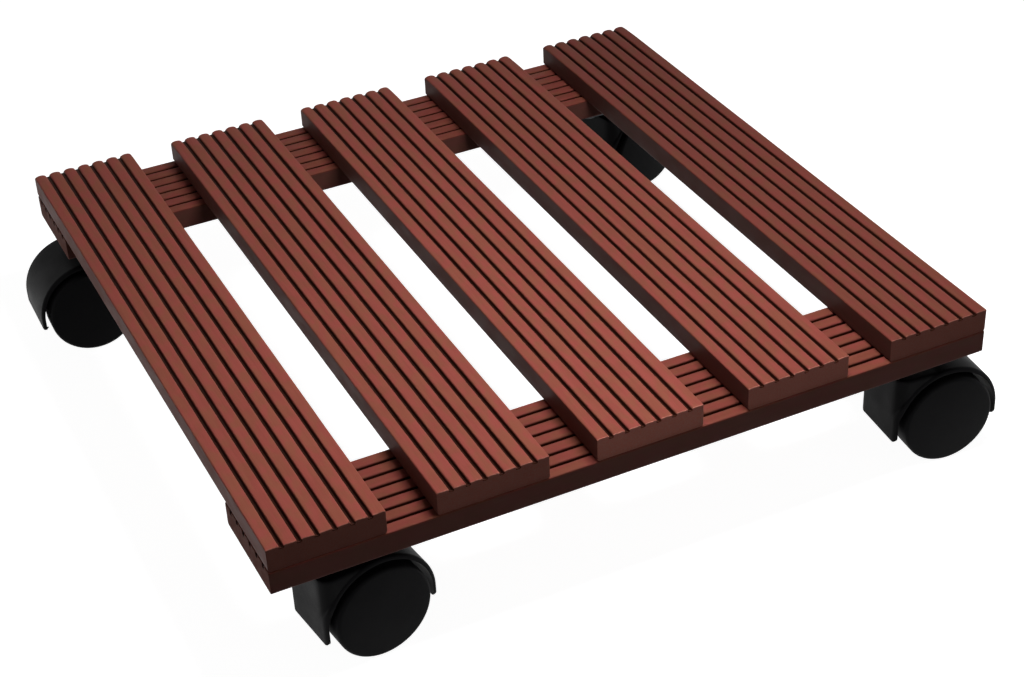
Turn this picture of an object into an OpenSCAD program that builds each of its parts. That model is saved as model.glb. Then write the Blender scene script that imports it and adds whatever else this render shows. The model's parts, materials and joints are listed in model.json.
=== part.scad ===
// Rolling plant stand: five grooved deck slats screwed down on two grooved cross rails,
// which stand on four hooded twin-wheel swivel casters.
// Millimetres, Z up. The origin is on the floor under the middle of the deck, X runs
// along the rails and Y along the slats, with the front at -Y.

/* [Deck] */
// Length of the deck along the rails
deck_l = 300; // [260:1:420]
// Length of each slat, across both rails
slat_l = 295; // [240:1:420]
// Width of the board that slats and rails are cut from
board_w = 44.6; // [42:0.2:50]
// Thickness of that board
board_t = 10.1; // [9.6:0.1:14]
// Width of each groove in the board's top
groove_w = 1.6; // [1:0.1:2.4]
// Depth of each groove
groove_d = 1.8; // [1:0.1:2.2]
// Rounding along both edges of every ridge
ridge_r = 0.6; // [0.3:0.1:0.9]
// Rounding along the board's two lower edges
board_foot_r = 1.2; // [0.4:0.1:2]

/* [Casters] */
// Distance from an end slat's middle line inwards to the kingpins under it
pivot_offset = 2.6; // [1:0.1:6]
// Distance from a kingpin's axis to the axle's axis
trail = 16.6; // [16:0.1:17.4]
// Side of the square top plate
plate_w = 38; // [35:0.5:41]
// Thickness of the top plate
plate_t = 2; // [1.5:0.1:2.5]
// Rounding of the top plate's corners
plate_corner_r = 4; // [1:0.5:5]
// Depth of the dish pressed into the middle of the top plate
dish_d = 2.2; // [2:0.1:2.6]
// Diameter of the kingpin
kingpin_d = 7; // [6:0.1:7.4]
// Height of the swivel boss above the hood's flat top
boss_h = 5.1; // [3:0.1:8]
// Diameter of the swivel boss at its top
boss_top_d = 11.6; // [10.5:0.1:14]
// Diameter of the swivel boss at its foot
boss_foot_d = 12.4; // [11:0.1:15]

/* [Hoods] */
// Wall of the hood over the wheels
hood_wall = 1.8; // [1.7:0.1:2.6]
// Wall of the hood behind the kingpin
back_wall = 1.3; // [1:0.1:1.7]
// Skin of the housing at each side of the kingpin
side_skin = 1.4; // [1.2:0.1:2]
// Height that each round rim stands out from the narrower housing behind it
rim_ledge = 0.6; // [0.4:0.1:1.2]
// Width of the web that carries kingpin and axle between the wheels
web_w = 11; // [10.5:0.1:12]
// Drop of the back wall below the axle
tail_drop = 7.7; // [4:0.1:10]
// Slope of the tail's lower end, in degrees
tail_slope = 10; // [0:1:30]
// Drop of the front lip below the axle
lip_drop = 5.2; // [2:0.1:6]
// Distance that the hollow under the arch is carried forwards, which thins the lip
lip_relief = 1; // [0.4:0.1:1.1]
// Chamfer along the lip's lower outer edge
lip_chamfer = 0.4; // [0.2:0.1:0.5]
// Rounding of the hood's outer edges over the wheels
hood_edge_r = 1.5; // [0.8:0.1:1.6]
// Rounding of the rims' back corners, seen from above
rim_corner_r = 4; // [1:0.1:4.4]
// Rounding of the housing's back corners, seen from above
housing_corner_r = 5; // [4:0.1:6]
// Height that the flat top behind the wheels lies below the arch
flat_drop = 0.6; // [0.4:0.1:1.2]

/* [Wheels] */
// Diameter of each wheel
wheel_d = 39.4; // [36:0.5:44]
// Width of each wheel, from its inner face to the edge of its outer disc
wheel_w = 11.1; // [10:0.1:13]
// Height that the outer disc is crowned at its middle
disc_crown = 0.9; // [0.3:0.1:1.5]
// Thickness of the outer disc
disc_t = 2.2; // [1.5:0.1:2.6]
// Thickness of the rim under the tread
rim_t = 2.5; // [2:0.1:3.5]
// Rounding of the tread's outer edge
tread_outer_r = 1.5; // [0.5:0.1:2]
// Rounding of the tread's inner edge
tread_inner_r = 1; // [0.5:0.1:1.8]
// Diameter of the axle
axle_d = 5; // [4:0.1:5.4]
// Diameter of each wheel's hub
hub_d = 10; // [8.5:0.1:12]
// Thickness of the ribs between hub and rim
rib_t = 1.2; // [0.8:0.1:2]
// Gap between a wheel and the web
wheel_side_gap = 0.5; // [0.3:0.1:0.8]
// Gap between a tread and the hood's arch
tread_gap = 1.8; // [1:0.1:2.5]
// Width that a wheel's outer face stands proud of the hood
wheel_proud = 2.8; // [1.2:0.1:3.2]

/* [Screws] */
// Shank diameter of all screws
screw_d = 3.5; // [3:0.1:4]
// Head diameter of all screws
screw_head_d = 7; // [6:0.1:7.6]
// Length of the countersunk screws that hold the slats
slat_screw_l = 16; // [14:0.1:16.2]
// Distance between the two screws of a slat on one rail
slat_screw_pitch = 26; // [22:0.5:28]
// Length of the pan-head screws that hold the casters
plate_screw_l = 9.5; // [8:0.1:9.6]
// Distance from the top plate's edges to its screw holes
plate_hole_inset = 5; // [4.5:0.1:5.5]
// Diameter of the screw holes of a top plate
plate_hole_d = 4.2; // [4.1:0.1:4.6]

/* [Rest pose] */
// Heading of the front left caster, from its kingpin to its axle
heading_fl = 7; // [-180:1:180]
// Heading of the front right caster
heading_fr = -5; // [-180:1:180]
// Heading of the back left caster
heading_bl = 179; // [-180:1:180]
// Heading of the back right caster
heading_br = 15; // [-180:1:180]

/* [Hidden] */
CORNERS = [["fl", -1, -1, heading_fl], ["fr", 1, -1, heading_fr],
           ["bl", -1, 1, heading_bl], ["br", 1, 1, heading_br]];
SLATS = 5;
CASTER_PIECES = ["top_plate", "plate_screws", "kingpin", "grip_ring", "hood", "axle"];

WOOD = [0.55, 0.31, 0.26];
DARK_WOOD = [0.36, 0.2, 0.18];
PLASTIC = [0.08, 0.08, 0.085];
ZINC = [0.62, 0.63, 0.65];
STEEL = [0.5, 0.5, 0.52];

// One overrun serves every cut
overrun = 1;
// Steps in a quarter round of an outline
quarter_steps = 4;
// True rounds
$fn = 48;

// Radial clearance of a screw in its hole
screw_gap = 0.1;
// Radial running clearance of kingpins and wheels
running_gap = 0.05;
// Radial clearance of the axle in the web
seat_gap = 0.02;
// Clearance past the end of a pin or screw
end_gap = 0.3;

// Boards
ridges = 7;
ridge_w = (board_w - (ridges - 1) * groove_w) / ridges;
slat_step = (deck_l - board_w) / (SLATS - 1);

// Screws: straight rim and cone of the countersunk head, height of the pan head, tip and cross
sunk_rim_h = 0.3;
sunk_cone_h = (screw_head_d - screw_d) / 2;
pan_rim_h = 1.3;
pan_crown_h = 0.9;
screw_tip_l = 2;
recess_w = 0.9;
recess_l = 3.6;
recess_depth = 1.1;

// Wheel, seen along the axle's axis from the web outwards
wheel_r = wheel_d / 2;
rim_in_r = wheel_r - rim_t;
disc_in = wheel_w - disc_t;
hub_end_t = 2.75;
hub_bore_l = wheel_w - hub_end_t;
hub_bore_r = axle_d / 2 + running_gap;
catch_inset = 2.2;
catch_at = hub_bore_l - catch_inset;
catch_w = 1;
catch_gap = 0.2;
axle_groove_d = 0.5;
ribs = 6;

// Hood, seen from the side with the axle at the origin
room_r = wheel_r + tread_gap;
hood_r = room_r + hood_wall;
hood_top = hood_r - flat_drop;
hood_back = room_r + back_wall;
hood_w = web_w + 2 * (wheel_side_gap + wheel_w - wheel_proud);
housing_w = hood_w - 2 * rim_ledge;
pocket_w = housing_w - 2 * side_skin;
pocket_corner_r = housing_corner_r - back_wall;
axle_boss_wall = 3.9;
axle_boss_r = axle_d / 2 + axle_boss_wall;
web_toe = 3.6;
web_foot_share = 0.6;
web_front_angle = 62;
web_arc_r = room_r + hood_wall / 2;
web_top = hood_top - hood_wall / 2;

// Heights above the floor
boss_top_z = wheel_r + hood_top + boss_h;
swivel_gap = 0.4;
dish_bottom_z = boss_top_z + swivel_gap;
rail_z = dish_bottom_z + dish_d + plate_t;
slat_z = rail_z + board_t;

// Kingpin, the plate's dish that takes its head, and the ring that holds the hood on it
head_d = 10;
head_h = 1.8;
dish_rim_d = 13;
dish_foot_d = 11;
pin_end_z = wheel_r + axle_boss_r + end_gap;
ring_rise = 3.3;
ring_t = 1.1;
ring_grip = 0.5;
ring_out_r = kingpin_d / 2 + ring_grip;
ring_groove_r = kingpin_d / 2 - ring_grip;
ring_z = pin_end_z + ring_rise;
ring_side_gap = 0.1;
ring_split = 55;
pin_bevel = 0.6;

// Screw holes of a top plate, and pivots of the casters on each rail's centre line
plate_hole_at = plate_w / 2 - plate_hole_inset;
pivot_x = deck_l / 2 - board_w / 2 - pivot_offset;
pivot_y = slat_l / 2 - board_w / 2;

// Points of a circular arc, counted in whole steps
function arc(cx, cy, r, from, to, steps) =
    [for (i = [0 : steps]) let (a = from + (to - from) * i / steps) [cx + r * cos(a), cy + r * sin(a)]];

// Section of the board: rounded lower edges, and ridges between grooves along its top
function board_section() = concat(
    arc(-board_w / 2 + board_foot_r, board_foot_r, board_foot_r, 180, 270, quarter_steps),
    arc(board_w / 2 - board_foot_r, board_foot_r, board_foot_r, 270, 360, quarter_steps),
    [for (i = [ridges - 1 : -1 : 0])
        let (x = -board_w / 2 + i * (ridge_w + groove_w))
        each concat(
            arc(x + ridge_w - ridge_r, board_t - ridge_r, ridge_r, 0, 90, quarter_steps),
            arc(x + ridge_r, board_t - ridge_r, ridge_r, 90, 180, quarter_steps),
            i == 0 ? [] : [[x, board_t - groove_d], [x - groove_w, board_t - groove_d]])]);

// A board of the given length along Y, its underside at z = 0
module board(length) {
    rotate([90, 0, 0])
        linear_extrude(height = length, center = true)
            polygon(board_section());
}

// Section of the countersunk screw from its head at z = 0 upwards, grown by a clearance
function sunk_section(gap) = [
    [0, 0], [screw_head_d / 2 + gap, 0], [screw_head_d / 2 + gap, sunk_rim_h],
    [screw_d / 2 + gap, sunk_rim_h + sunk_cone_h], [screw_d / 2 + gap, slat_screw_l - screw_tip_l],
    [0, slat_screw_l]];

// Section of the pan-head screw: the head hangs below z = 0, the shank stands above it
function pan_section() = [
    [0, -pan_rim_h - pan_crown_h], [screw_head_d / 4, -pan_rim_h - pan_crown_h],
    [screw_head_d / 2, -pan_rim_h], [screw_head_d / 2, 0], [screw_d / 2, 0],
    [screw_d / 2, plate_screw_l - screw_tip_l], [0, plate_screw_l]];

// Cross recess, cut upwards from z = 0
module cross_recess() {
    for (turn = [0, 90])
        rotate([0, 0, turn])
            translate([-recess_l / 2, -recess_w / 2, -overrun])
                cube([recess_l, recess_w, overrun + recess_depth]);
}

module sunk_screw() {
    difference() {
        rotate_extrude() polygon(sunk_section(0));
        cross_recess();
    }
}

module pan_screw() {
    difference() {
        rotate_extrude() polygon(pan_section());
        translate([0, 0, -pan_rim_h - pan_crown_h]) cross_recess();
    }
}

// Places of the two screws that hold one slat on one rail, on that rail's centre line
module at_slat_screws(slat) {
    for (side = [-1, 1])
        translate([-deck_l / 2 + board_w / 2 + slat * slat_step, side * slat_screw_pitch / 2, 0])
            children();
}

// Places of the four screw holes of a top plate, around its kingpin
module at_plate_holes() {
    for (x = [-1, 1]) for (y = [-1, 1])
        translate([x * plate_hole_at, y * plate_hole_at, 0])
            children();
}

// One slat, with the blind holes that its four screws have bitten from below
module slat(index) {
    bite = slat_screw_l - board_t + end_gap;
    color(WOOD) difference() {
        translate([-deck_l / 2 + board_w / 2 + index * slat_step, 0, slat_z]) board(slat_l);
        for (rail = [-1, 1])
            translate([0, rail * pivot_y, slat_z - overrun])
                at_slat_screws(index)
                    cylinder(d = screw_d + 2 * screw_gap, h = overrun + bite);
    }
}

// One cross rail, with countersunk holes for the slats' screws and blind ones for the casters'
module rail(side) {
    bite = plate_screw_l - plate_t + end_gap;
    color(DARK_WOOD) difference() {
        translate([0, side * pivot_y, rail_z]) rotate([0, 0, 90]) board(deck_l);
        for (i = [0 : SLATS - 1])
            translate([0, side * pivot_y, rail_z]) at_slat_screws(i) {
                rotate_extrude() polygon(sunk_section(screw_gap));
                translate([0, 0, -overrun])
                    cylinder(d = screw_head_d + 2 * screw_gap, h = overrun + sunk_rim_h / 2);
            }
        for (x = [-1, 1])
            translate([x * pivot_x, side * pivot_y, rail_z - overrun])
                at_plate_holes()
                    cylinder(d = screw_d + 2 * screw_gap, h = overrun + bite);
    }
}

module slat_screws(side) {
    color(STEEL)
        for (i = [0 : SLATS - 1])
            translate([0, side * pivot_y, rail_z]) at_slat_screws(i) sunk_screw();
}

// Square plate with a dish pressed downwards, which takes the kingpin's riveted head
module top_plate() {
    half = plate_w / 2 - plate_corner_r;
    outline = concat(
        arc(half, half, plate_corner_r, 0, 90, quarter_steps),
        arc(-half, half, plate_corner_r, 90, 180, quarter_steps),
        arc(-half, -half, plate_corner_r, 180, 270, quarter_steps),
        arc(half, -half, plate_corner_r, 270, 360, quarter_steps));
    rim_r = dish_rim_d / 2;
    foot_r = dish_foot_d / 2;
    color(ZINC) difference() {
        union() {
            translate([0, 0, rail_z - plate_t]) linear_extrude(height = plate_t) polygon(outline);
            rotate_extrude() polygon([
                [0, dish_bottom_z], [foot_r + plate_t, dish_bottom_z],
                [rim_r + plate_t, rail_z - plate_t], [rim_r + plate_t, rail_z - plate_t / 2],
                [0, rail_z - plate_t / 2]]);
        }
        rotate_extrude() polygon([
            [0, rail_z - dish_d], [foot_r, rail_z - dish_d], [rim_r, rail_z],
            [rim_r, rail_z + overrun], [0, rail_z + overrun]]);
        translate([0, 0, dish_bottom_z - overrun])
            cylinder(d = kingpin_d + 2 * seat_gap, h = plate_t + 2 * overrun);
        translate([0, 0, rail_z - plate_t - overrun])
            at_plate_holes() cylinder(d = plate_hole_d, h = plate_t + 2 * overrun);
    }
}

module plate_screws() {
    color(STEEL) translate([0, 0, rail_z - plate_t]) at_plate_holes() pan_screw();
}

// Riveted pin: head in the plate's dish, groove for the grip ring near its lower end
module kingpin() {
    r = kingpin_d / 2;
    head_z = rail_z - dish_d;
    groove = ring_t / 2 + ring_side_gap;
    color(STEEL) rotate_extrude() polygon([
        [0, pin_end_z], [r - pin_bevel, pin_end_z], [r, pin_end_z + pin_bevel],
        [r, ring_z - groove], [ring_groove_r, ring_z - groove],
        [ring_groove_r, ring_z + groove], [r, ring_z + groove],
        [r, head_z], [head_d / 2, head_z], [head_d / 2, head_z + head_h / 2],
        [head_d / 2 - pin_bevel, head_z + head_h], [0, head_z + head_h]]);
}

// Split spring ring in the kingpin's groove
module grip_ring() {
    color(STEEL) rotate([0, 0, ring_split / 2])
        rotate_extrude(angle = 360 - ring_split)
            translate([ring_groove_r + seat_gap, ring_z - ring_t / 2])
                square([ring_out_r - ring_groove_r - seat_gap, ring_t]);
}

// Plan of a length of the hood, from its rounded back corners forwards
module hood_plan(width, back, front, corner_r) {
    polygon(concat(
        [[front, width / 2]],
        arc(corner_r - back, width / 2 - corner_r, corner_r, 90, 180, quarter_steps),
        arc(corner_r - back, corner_r - width / 2, corner_r, 180, 270, quarter_steps),
        [[front, -width / 2]]));
}

// Outside of the hood: a drum with rounded rims, drawn straight down below the axle, and a
// narrower housing behind the kingpin
module hood_outside() {
    reach = hood_r + overrun;
    drum = concat(
        [[0, -hood_w / 2]],
        arc(hood_r - hood_edge_r, -hood_w / 2 + hood_edge_r, hood_edge_r, 270, 360, quarter_steps),
        arc(hood_r - hood_edge_r, hood_w / 2 - hood_edge_r, hood_edge_r, 0, 90, quarter_steps),
        [[0, hood_w / 2]]);
    housing = concat(
        [[-housing_w / 2, -reach], [housing_w / 2, -reach]],
        arc(housing_w / 2 - hood_edge_r, hood_top - hood_edge_r, hood_edge_r, 0, 90, quarter_steps),
        arc(hood_edge_r - housing_w / 2, hood_top - hood_edge_r, hood_edge_r, 90, 180, quarter_steps));
    side = [
        [-hood_back - overrun, reach], [-hood_back - overrun, -tail_drop], [-hood_back, -tail_drop],
        [0, hood_back * tan(tail_slope) - tail_drop], [0, -lip_drop],
        [hood_r - lip_chamfer, -lip_drop], [reach, overrun + lip_chamfer - lip_drop],
        [reach, reach]];
    intersection() {
        rotate([90, 0, 0]) linear_extrude(height = 2 * hood_w, center = true) polygon(side);
        union() {
            intersection() {
                union() {
                    rotate([90, 0, 0]) rotate_extrude($fn = 96) polygon(drum);
                    for (end = [0, 1])
                        mirror([end, 0, 0]) translate([0, 0, -reach])
                            linear_extrude(height = reach) polygon(drum);
                }
                translate([0, 0, -reach])
                    linear_extrude(height = 2 * reach) hood_plan(hood_w, hood_back, reach, rim_corner_r);
            }
            intersection() {
                translate([0, 0, -reach])
                    linear_extrude(height = 2 * reach) hood_plan(housing_w, hood_back, 0, housing_corner_r);
                rotate([90, 0, -90])
                    linear_extrude(height = hood_back + overrun) polygon(housing);
            }
        }
    }
}

// Room inside the hood: round over the wheels, straight down below the axle so that the mould's
// core draws out, and a pocket behind the kingpin
module hood_room() {
    room_w = hood_w + 2 * overrun;
    for (forwards = [0, lip_relief])
        translate([forwards, 0, 0]) {
            rotate([90, 0, 0]) cylinder(r = room_r, h = room_w, center = true, $fn = 96);
            translate([-room_r, -room_w / 2, -room_r]) cube([2 * room_r, room_w, room_r]);
        }
    linear_extrude(height = hood_top - hood_wall) hood_plan(pocket_w, room_r, 0, pocket_corner_r);
}

// Web between the wheels, from the axle's boss up to the arch and back to the kingpin
module hood_web() {
    foot = axle_boss_r * web_foot_share;
    back = hood_back - back_wall / 2;
    side = concat(
        [[-back, web_toe], [0, -foot], [foot, 0]],
        arc(0, 0, web_arc_r, web_front_angle, asin(web_top / web_arc_r), quarter_steps),
        [[-back, web_top]]);
    rotate([90, 0, 0]) {
        linear_extrude(height = web_w, center = true) polygon(side);
        cylinder(r = axle_boss_r, h = web_w, center = true);
    }
}

// Moulded hood that turns on the kingpin and carries the axle
module hood() {
    recess = ring_t / 2 + end_gap;
    color(PLASTIC) difference() {
        translate([trail, 0, wheel_r]) union() {
            difference() {
                hood_outside();
                hood_room();
            }
            hood_web();
            translate([-trail, 0, web_top])
                cylinder(d1 = boss_foot_d, d2 = boss_top_d, h = hood_top + boss_h - web_top);
        }
        translate([0, 0, pin_end_z - end_gap])
            cylinder(d = kingpin_d + 2 * running_gap, h = boss_top_z - pin_end_z + end_gap + overrun);
        translate([0, 0, ring_z - recess]) cylinder(r = ring_out_r + end_gap, h = 2 * recess);
        translate([trail, 0, wheel_r])
            rotate([90, 0, 0])
                cylinder(d = axle_d + 2 * seat_gap, h = web_w + 2 * overrun, center = true);
    }
}

// Axle through the web, with a groove near each end that the wheel's catch runs in
module axle() {
    r = axle_d / 2;
    wheel_from = web_w / 2 + wheel_side_gap;
    half = wheel_from + hub_bore_l - end_gap;
    groove = catch_w / 2 + catch_gap;
    at = wheel_from + catch_at;
    half_section = [
        [r, at - groove], [r - axle_groove_d, at - groove], [r - axle_groove_d, at + groove],
        [r, at + groove], [r, half - end_gap], [r - end_gap, half]];
    color(STEEL) translate([trail, 0, wheel_r]) rotate([90, 0, 0])
        rotate_extrude() polygon(concat(
            half_section, [[0, half], [0, -half]],
            [for (i = [len(half_section) - 1 : -1 : 0]) [half_section[i][0], -half_section[i][1]]]));
}

// One wheel with its inner face at z = 0: crowned disc, ribbed hollow and a hub with a catch
module wheel_body() {
    disc_r = wheel_r - tread_outer_r;
    crown_r = (disc_r * disc_r + disc_crown * disc_crown) / (2 * disc_crown);
    crown_from = asin(disc_r / crown_r);
    catch_r = axle_d / 2 - axle_groove_d + 2 * running_gap;
    section = concat(
        [[hub_bore_r, 0], [hub_d / 2, 0], [hub_d / 2, disc_in], [rim_in_r, disc_in], [rim_in_r, 0]],
        arc(wheel_r - tread_inner_r, tread_inner_r, tread_inner_r, 270, 360, quarter_steps),
        arc(disc_r, wheel_w - tread_outer_r, tread_outer_r, 0, 90, quarter_steps),
        [for (i = [1 : quarter_steps])
            let (a = crown_from * (1 - i / quarter_steps))
            [crown_r * sin(a), wheel_w + disc_crown - crown_r * (1 - cos(a))]],
        [[0, hub_bore_l], [hub_bore_r, hub_bore_l],
         [hub_bore_r, catch_at + catch_w / 2], [catch_r, catch_at + catch_w / 2],
         [catch_r, catch_at - catch_w / 2], [hub_bore_r, catch_at - catch_w / 2]]);
    rotate_extrude($fn = 96) polygon(section);
    rib_from = (hub_d / 2 + hub_bore_r) / 2;
    for (i = [0 : ribs - 1])
        rotate([0, 0, i * 360 / ribs])
            translate([rib_from, -rib_t / 2, tread_inner_r])
                cube([rim_in_r + rim_t / 2 - rib_from, rib_t, disc_in + disc_t / 2 - tread_inner_r]);
}

// A wheel on its end of the axle: side is 1 on the left of the heading and -1 on the right
module wheel(side) {
    color(PLASTIC) translate([trail, side * (web_w / 2 + wheel_side_gap), wheel_r])
        rotate([-side * 90, 0, 0]) wheel_body();
}

// Places a caster under its corner of the deck, turned to its heading
module at_corner(c) {
    translate([c[1] * pivot_x, c[2] * pivot_y, 0]) rotate([0, 0, c[3]]) children();
}

// Places what is fixed to the deck at a corner, which stays square to the deck
module under_corner(c) {
    translate([c[1] * pivot_x, c[2] * pivot_y, 0]) children();
}

for (i = [1 : SLATS])
    slat(i - 1);
rail(-1);  // rail_front
rail(1);  // rail_back
slat_screws(-1);  // slat_screws_front
slat_screws(1);  // slat_screws_back
for (c = CORNERS) {
    under_corner(c) top_plate();
    under_corner(c) plate_screws();
    under_corner(c) kingpin();
    under_corner(c) grip_ring();
    at_corner(c) hood();
    at_corner(c) axle();
    at_corner(c) wheel(1);
    at_corner(c) wheel(-1);
}
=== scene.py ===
"""Looks of a rolling plant stand: grooved deck boards on four hooded twin-wheel swivel casters.

Every new piece is a surface worked out with numpy, in metres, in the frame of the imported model.
"""
import json
import math

import bpy
import numpy as np
from mathutils import Matrix, Vector


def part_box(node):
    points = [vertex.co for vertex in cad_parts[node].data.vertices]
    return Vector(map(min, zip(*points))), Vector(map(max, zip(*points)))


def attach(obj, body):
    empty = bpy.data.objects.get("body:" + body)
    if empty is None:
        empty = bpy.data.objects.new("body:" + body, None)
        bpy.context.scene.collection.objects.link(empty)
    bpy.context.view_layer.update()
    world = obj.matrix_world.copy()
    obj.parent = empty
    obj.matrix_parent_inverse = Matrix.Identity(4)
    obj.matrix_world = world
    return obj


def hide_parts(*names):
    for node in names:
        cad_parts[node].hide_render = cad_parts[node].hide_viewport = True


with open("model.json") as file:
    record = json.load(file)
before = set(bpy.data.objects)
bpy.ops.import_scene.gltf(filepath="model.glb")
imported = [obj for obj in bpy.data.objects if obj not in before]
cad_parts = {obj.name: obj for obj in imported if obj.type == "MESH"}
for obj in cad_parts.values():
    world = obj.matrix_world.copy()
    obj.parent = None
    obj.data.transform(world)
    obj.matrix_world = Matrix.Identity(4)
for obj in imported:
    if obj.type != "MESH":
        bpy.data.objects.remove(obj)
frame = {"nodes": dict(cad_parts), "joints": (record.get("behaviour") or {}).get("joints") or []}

bl_info = {
    "name": "Rolling Plant Stand",
    "version": (1, 0, 0),
    "blender": (4, 5, 0),
    "location": "3D View > Sidebar > Plant Stand",
    "description": "Builds the boards, screws, hoods and wheels of a rolling plant stand",
    "category": "Add Mesh",
}

MM = 0.001
QUARTER = math.pi / 2
SLATS = sorted(name for name in frame["nodes"] if name.startswith("slat_") and "screws" not in name)
RAILS = ["rail_front", "rail_back"]
CORNERS = ["fl", "fr", "bl", "br"]
SIDES = {"left": 1, "right": -1}
JOINTS = {joint["name"]: joint for joint in frame["joints"]}
RAIL_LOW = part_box(RAILS[0])[0]
WOOD_SHEEN, PLASTIC_SHEEN = 0.05, 0.035  # specular levels
GRAIN_DEPTH = 0.00003  # bump that stands for wood fibres and for the moulds' grain, in metres


def length_property(name, text, default, low=0.0):
    """A length in metres, given here in millimetres."""
    return bpy.props.FloatProperty(
        name=name, description=text, default=default * MM, min=low * MM, unit="LENGTH", precision=5)


def colour_property(name, text, default):
    return bpy.props.FloatVectorProperty(
        name=name, description=text, default=default, size=3, min=0, max=1, subtype="COLOR")


def share_property(name, text, default):
    return bpy.props.FloatProperty(
        name=name, description=text, default=default, min=0, max=1, subtype="FACTOR")


def power_property(name, text, default):
    return bpy.props.FloatProperty(
        name=name, description=text, default=default, min=0, unit="POWER")


class BoardSizes(bpy.types.PropertyGroup):
    """Profile and finish of the grooved boards; width, thickness and length come from the frame."""
    ridges: bpy.props.IntProperty(
        name="Ridges", description="Ridges across a board", default=7, min=2)
    groove_w: length_property("Groove width", "Width of a groove at its mouth", 1.6)
    groove_d: length_property("Groove depth", "Depth of a groove", 1.8)
    groove_draft: length_property("Groove draft", "Lean of each groove wall", 0.08)
    groove_r: length_property("Groove foot", "Rounding in the foot of a groove", 0.35)
    ridge_r: length_property("Ridge edge", "Rounding along the edges of a ridge", 0.6)
    foot_r: length_property("Foot edge", "Rounding along the two lower edges", 1.2)
    end_r: length_property("Cut edge", "Rounding around the sawn ends", 0.3)
    worn_end_r: length_property("Worn end", "Rounding of the ridges at the back end of a slat", 1.0)
    worn_crown: length_property("Worn crown", "Depth that wear takes off its edges there", 0.9)
    burr: length_property("Burr", "Length of the burrs in the grooves at a slat's front end", 1.2)
    burr_h: length_property("Burr height", "Height of those burrs above the foot of a groove", 1.1)
    chip: length_property("Chips", "Depth of the chips that the saw left on the ridges", 0.2)
    sway: length_property("Sway", "Most that a ridge's edge strays from straight", 0.05)


class WoodColours(bpy.types.PropertyGroup):
    """Colours of the stained boards."""
    stain: colour_property("Stain", "Redder patches on top of the ridges", (0.300, 0.070, 0.055))
    brown: colour_property("Brown", "Browner patches on top of the ridges", (0.262, 0.080, 0.050))
    streak: colour_property("Streak", "Colour of the darker grain", (0.215, 0.050, 0.035))
    worn: colour_property("Worn edge", "Colour where the stain is rubbed thin", (0.40, 0.145, 0.105))
    # painted shade: this colour darkens the foot of every groove to near black, as its shadow
    groove: colour_property("Groove", "Colour in the foot of the grooves", (0.030, 0.008, 0.004))
    cut: colour_property("Cut end", "Colour of the sawn ends", (0.200, 0.083, 0.064))
    # painted shade: this colour darkens the long sides and lower edges of every board, as the shade
    # between and under the boards
    side: colour_property(
        "Side", "Colour of the rougher long sides, which soak up more stain", (0.085, 0.043, 0.036))


class CasterSizes(bpy.types.PropertyGroup):
    """Sizes of hoods and wheels that the boxes of the frame don't give."""
    room_gap: length_property("Tread gap", "Gap between a tread and the hood", 1.8)
    hood_wall: length_property("Hood wall", "Wall of the hood over the wheels", 1.8)
    back_wall: length_property("Back wall", "Wall of the hood behind the kingpin", 1.3)
    hood_w: length_property("Hood width", "Width of the hood over its rims", 30.2)
    rim_ledge: length_property("Rim ledge", "Height that a rim stands out from the housing", 0.6)
    side_skin: length_property("Side skin", "Skin of the housing at its sides", 1.4)
    flat_drop: length_property("Flat drop", "Drop of the flat top below the arch", 0.6)
    tail_drop: length_property("Tail drop", "Drop of the tail below the axle", 7.7)
    lip_drop: length_property("Lip drop", "Drop of the front lip below the axle", 5.2)
    lip_relief: length_property("Lip relief", "Distance that the hollow is carried forwards", 0.2)
    lip_round: length_property("Lip round", "Rounding of the lip's lower edge", 1.1)
    end_corner_r: length_property(
        "End corner", "Rounding of the lower corners of lip and tail, seen from the front", 2.5)
    thin_edge: length_property("Thin edge", "Least wall that a rounded edge leaves", 0.35)
    edge_r: length_property("Hood edge", "Rounding of the outer edges", 1.5)
    rim_corner_r: length_property("Rim corner", "Rounding of the rims' back corners", 4.0)
    housing_corner_r: length_property("Housing corner", "Rounding of the housing's corners", 5.0)
    tail_slope: bpy.props.FloatProperty(
        name="Tail slope", description="Slope of the tail's lower end", default=math.radians(10),
        subtype="ANGLE")
    web_w: length_property("Web width", "Width of the web between the wheels", 11.0)
    boss_top_d: length_property("Boss top", "Diameter of the swivel boss at its top", 11.6)
    boss_foot_d: length_property("Boss foot", "Diameter of the swivel boss at its foot", 12.4)
    boss_h: length_property("Boss height", "Height of the boss above the flat top", 5.1)
    wheel_w: length_property("Wheel width", "Width of a wheel up to the edge of its disc", 11.1)
    wheel_gap: length_property("Wheel gap", "Gap between a wheel and the web", 0.5)
    disc_crown: length_property("Disc crown", "Crown of the outer disc", 0.9)
    disc_t: length_property("Disc", "Thickness of the outer disc", 2.2)
    rim_t: length_property("Rim", "Thickness of the rim under the tread", 2.5)
    tread_outer_r: length_property("Outer tread edge", "Rounding of the tread's outer edge", 1.5)
    tread_inner_r: length_property("Inner tread edge", "Rounding of the tread's inner edge", 1.0)
    hub_d: length_property("Hub", "Diameter of the hub", 10.0)
    axle_d: length_property("Axle", "Diameter of the axle", 5.0)
    ribs: bpy.props.IntProperty(name="Ribs", description="Ribs inside a wheel", default=6, min=3)
    rib_t: length_property("Rib", "Thickness of a rib", 1.2)


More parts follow.
